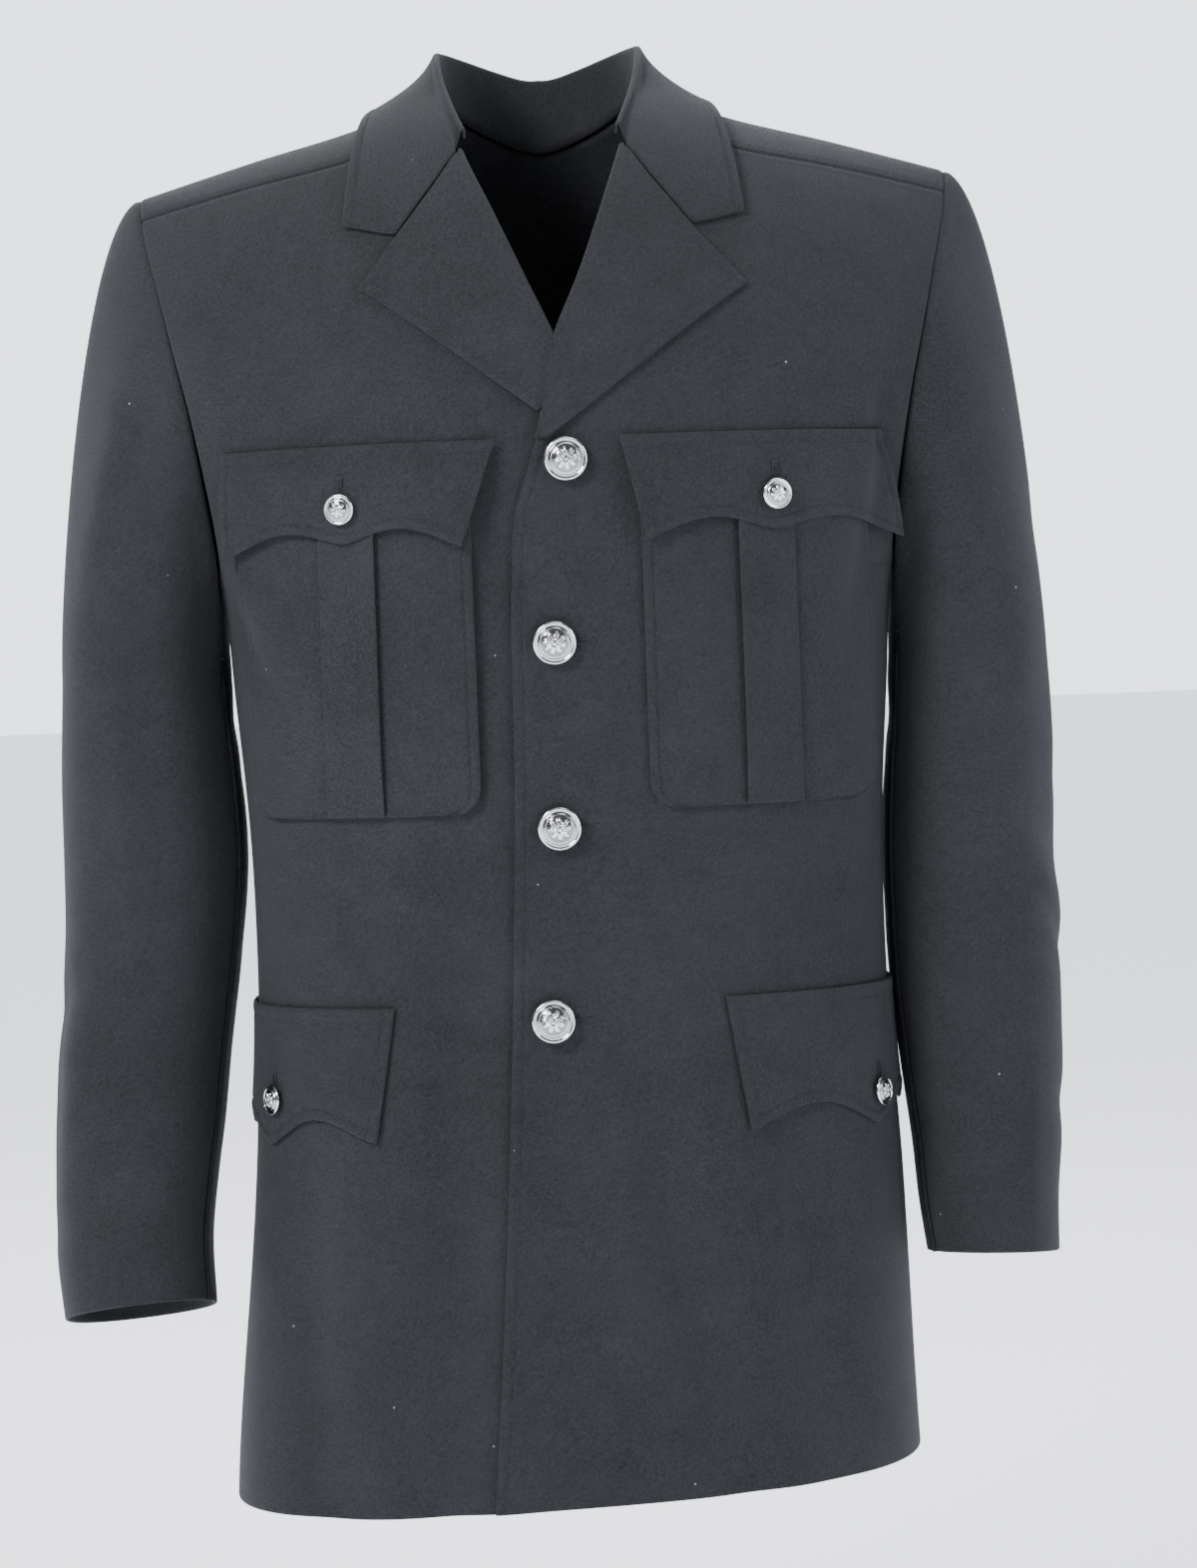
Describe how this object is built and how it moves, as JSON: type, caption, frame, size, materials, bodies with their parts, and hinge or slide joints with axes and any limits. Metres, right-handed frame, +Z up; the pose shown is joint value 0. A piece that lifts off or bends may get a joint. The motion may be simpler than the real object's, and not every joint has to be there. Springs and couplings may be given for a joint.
{
  "type": "police uniform tunic",
  "caption": "Single-breasted wool uniform tunic in its worn form, with notched collar, pleated chest pockets, scalloped flaps and domed chrome buttons.",
  "frame": {"origin": "base of the neck, between the shoulder ridges, where the wearer's shoulders carry the tunic", "axes": "+Z up the neck, -Y out of the chest, +X to the wearer's left"},
  "size_m": [0.582, 0.2735, 0.821],
  "materials": {
    "wool_serge": "matt serge with a short nap",
    "chrome": "polished"
  },
  "bodies": {
    "root": {"back": "wool_serge", "front_left": "wool_serge", "front_right": "wool_serge", "sleeve_left_top": "wool_serge", "sleeve_left_under": "wool_serge", "sleeve_right_top": "wool_serge", "sleeve_right_under": "wool_serge", "collar": "wool_serge", "lapel_left": "wool_serge", "lapel_right": "wool_serge", "chest_pocket_left": "wool_serge", "chest_pocket_right": "wool_serge", "chest_flap_left": "wool_serge", "chest_flap_right": "wool_serge", "hip_flap_left": "wool_serge", "hip_flap_right": "wool_serge", "front_button_1": "chrome", "front_button_2": "chrome", "front_button_3": "chrome", "front_button_4": "chrome", "chest_button_left": "chrome", "chest_button_right": "chrome", "hip_button_left": "chrome", "hip_button_right": "chrome"}
  },
  "joints": []
}
